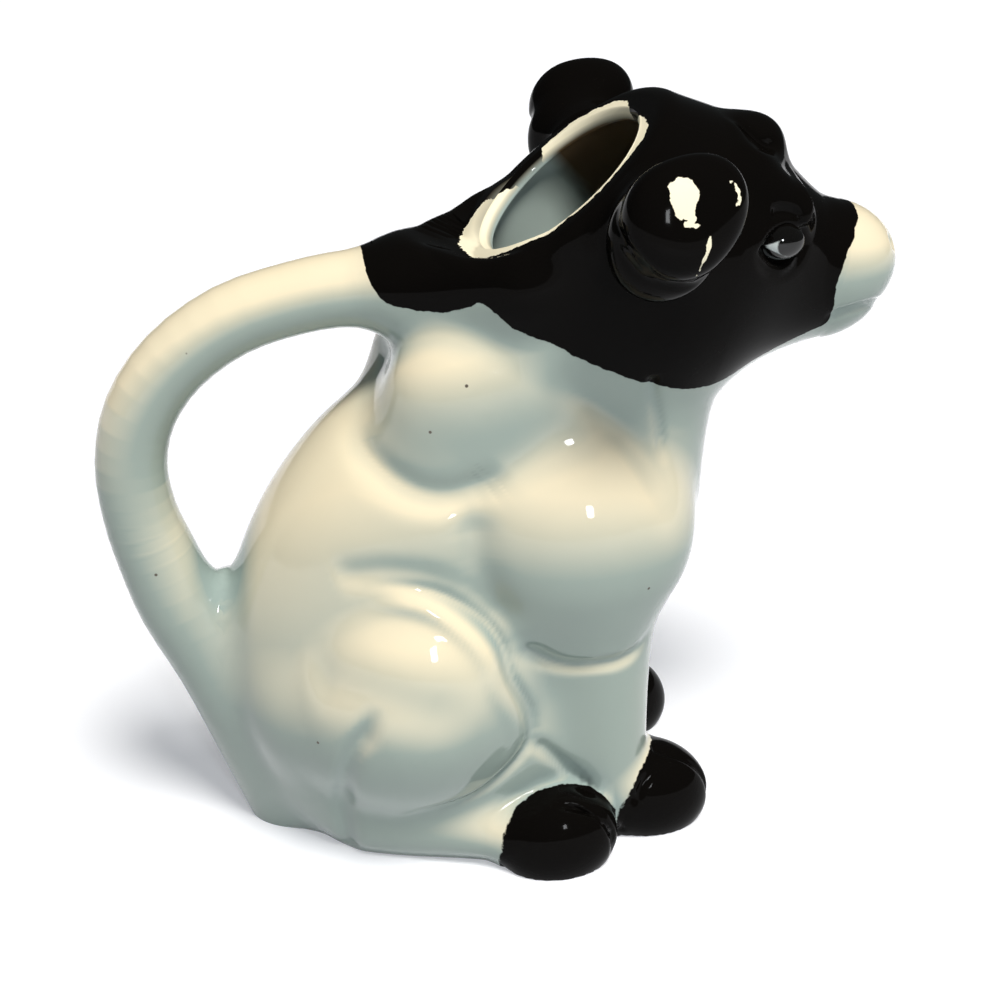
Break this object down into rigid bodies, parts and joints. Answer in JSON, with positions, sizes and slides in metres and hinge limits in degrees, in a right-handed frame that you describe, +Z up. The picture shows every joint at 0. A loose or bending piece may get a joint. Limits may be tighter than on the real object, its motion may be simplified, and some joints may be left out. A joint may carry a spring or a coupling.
{
  "type": "cow creamer",
  "caption": "Seated calf cream jug: hollow glazed body, round filling hole behind the poll, loop handle from nape to rump, and a slot mouth that pours.",
  "frame": {"origin": "on the plane of the foot ring, in the plane of symmetry, under the middle of the overall length", "axes": "+X the way the calf faces and pours, +Y its left side, +Z up"},
  "size_m": [0.1384, 0.083, 0.1338],
  "materials": {
    "cream_glaze": "glossy warm cream glaze over earthenware, pale blue-grey where it pools",
    "black_glaze": "deep glossy black glaze, chipped to cream at the rim and ear",
    "eye_glaze": "glossy pale glaze with a black iris"
  },
  "bodies": {
    "root": {"torso": "cream_glaze", "head": "black_glaze", "muzzle": "cream_glaze", "handle": "cream_glaze", "right_ear": "black_glaze", "left_ear": "black_glaze", "right_fore_hoof": "black_glaze", "left_fore_hoof": "black_glaze", "right_hind_hoof": "black_glaze", "left_hind_hoof": "black_glaze", "right_eye": "eye_glaze", "left_eye": "eye_glaze"}
  },
  "joints": []
}
